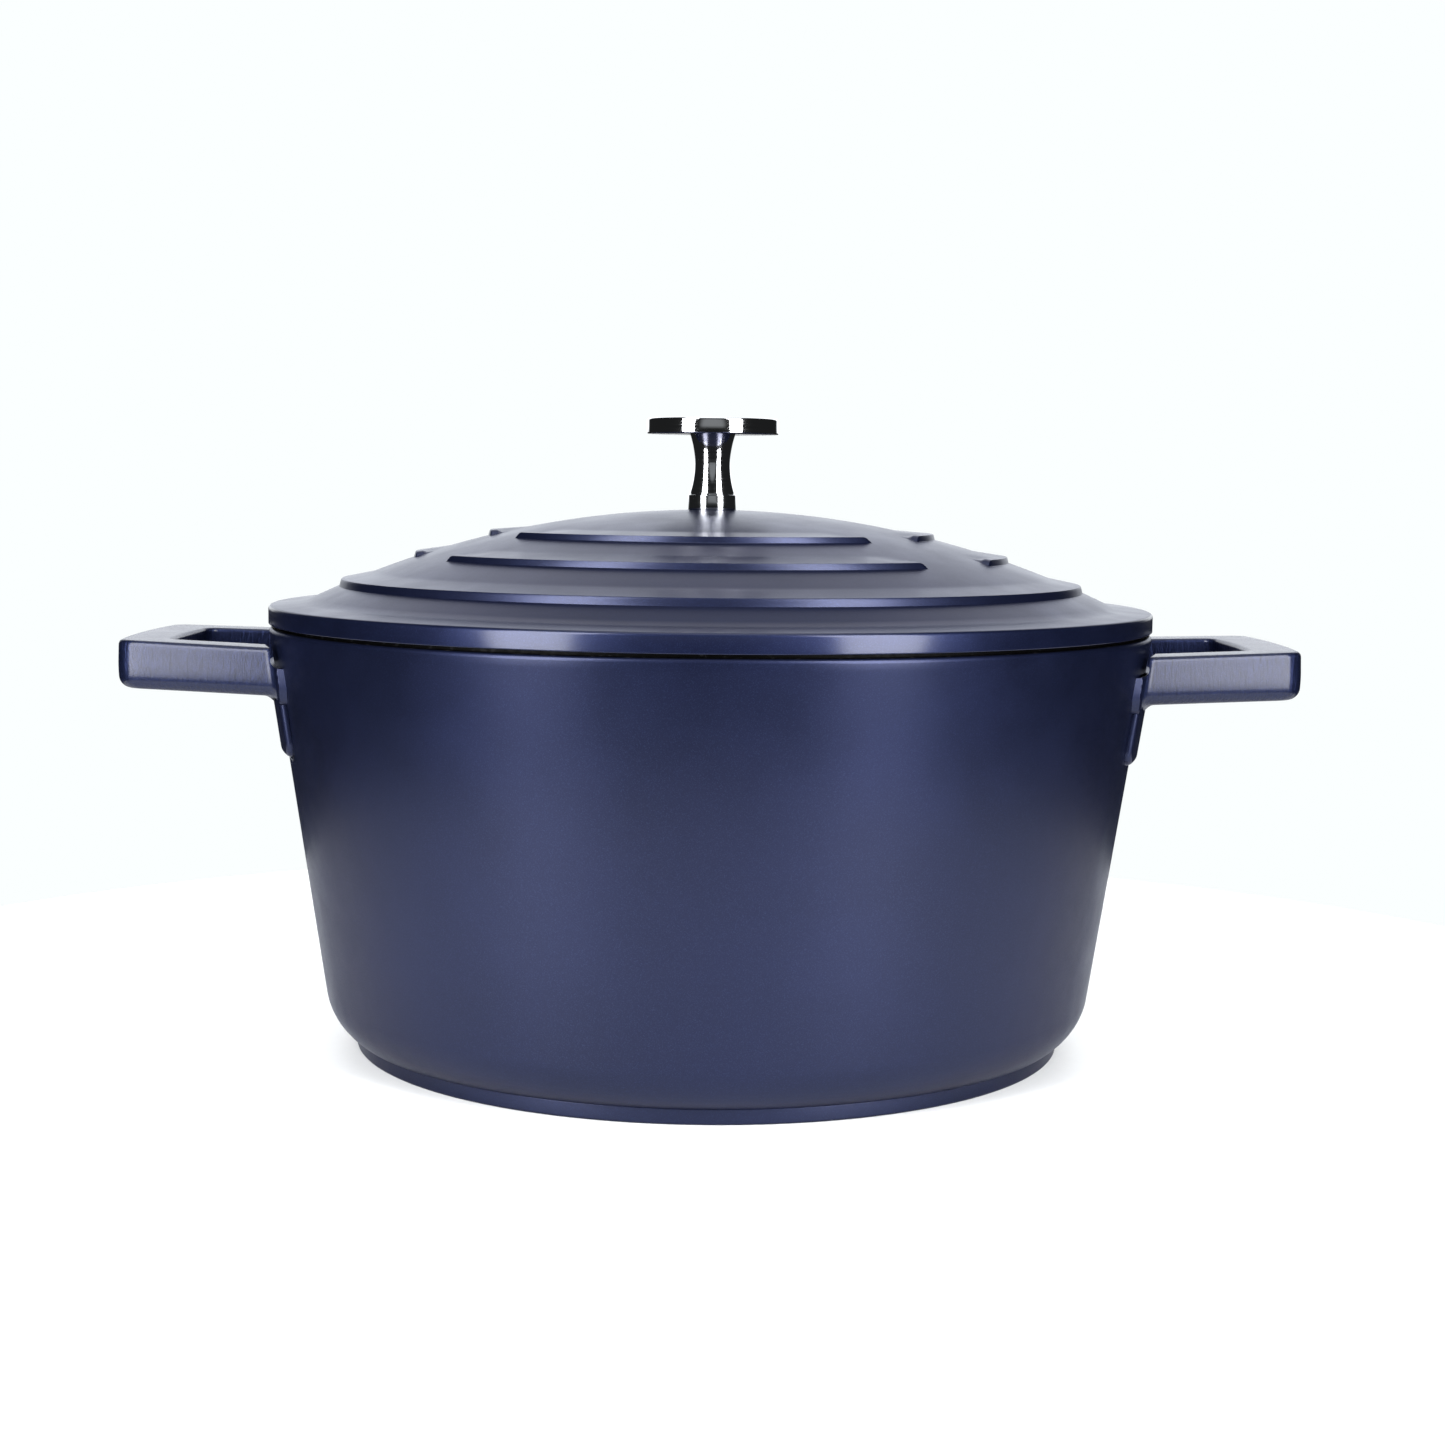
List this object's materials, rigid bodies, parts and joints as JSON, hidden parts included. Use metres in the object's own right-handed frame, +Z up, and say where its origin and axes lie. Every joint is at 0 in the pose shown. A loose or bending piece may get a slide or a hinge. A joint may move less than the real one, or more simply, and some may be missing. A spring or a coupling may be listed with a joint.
{
  "type": "lidded casserole",
  "caption": "Round straight-sided cooking pot that widens to its rim, with square loop handles and a low domed, stepped lid that lifts off by a flat-topped steel knob.",
  "frame": {"origin": "centre of the base, on the surface that the pot stands on", "axes": "+Z up along the pot's axis, -X and +X through the two handles, -Y towards the viewer"},
  "size_m": [0.384, 0.292, 0.2082],
  "materials": {
    "pot_casting": "satin metallic navy lacquer outside, dark speckled non-stick coating inside",
    "lid_casting": "satin metallic navy lacquer outside, dark speckled non-stick coating inside",
    "base_plate": "brushed",
    "knob_steel": "turned and polished",
    "fastener_steel": "plain bright steel"
  },
  "bodies": {
    "pot": {"pot_body": "pot_casting", "induction_plate": "base_plate"},
    "lid": {"lid": "lid_casting", "knob_cap": "knob_steel", "knob_stem": "knob_steel", "knob_collar": "knob_steel", "knob_screw": "fastener_steel", "lock_washer": "fastener_steel", "flat_washer": "fastener_steel"}
  },
  "joints": [
    {"name": "lid_lift", "type": "slide", "parent": "pot", "child": "lid", "axis": [0, 0, 1], "range_m": [0, 0.2]}
  ]
}
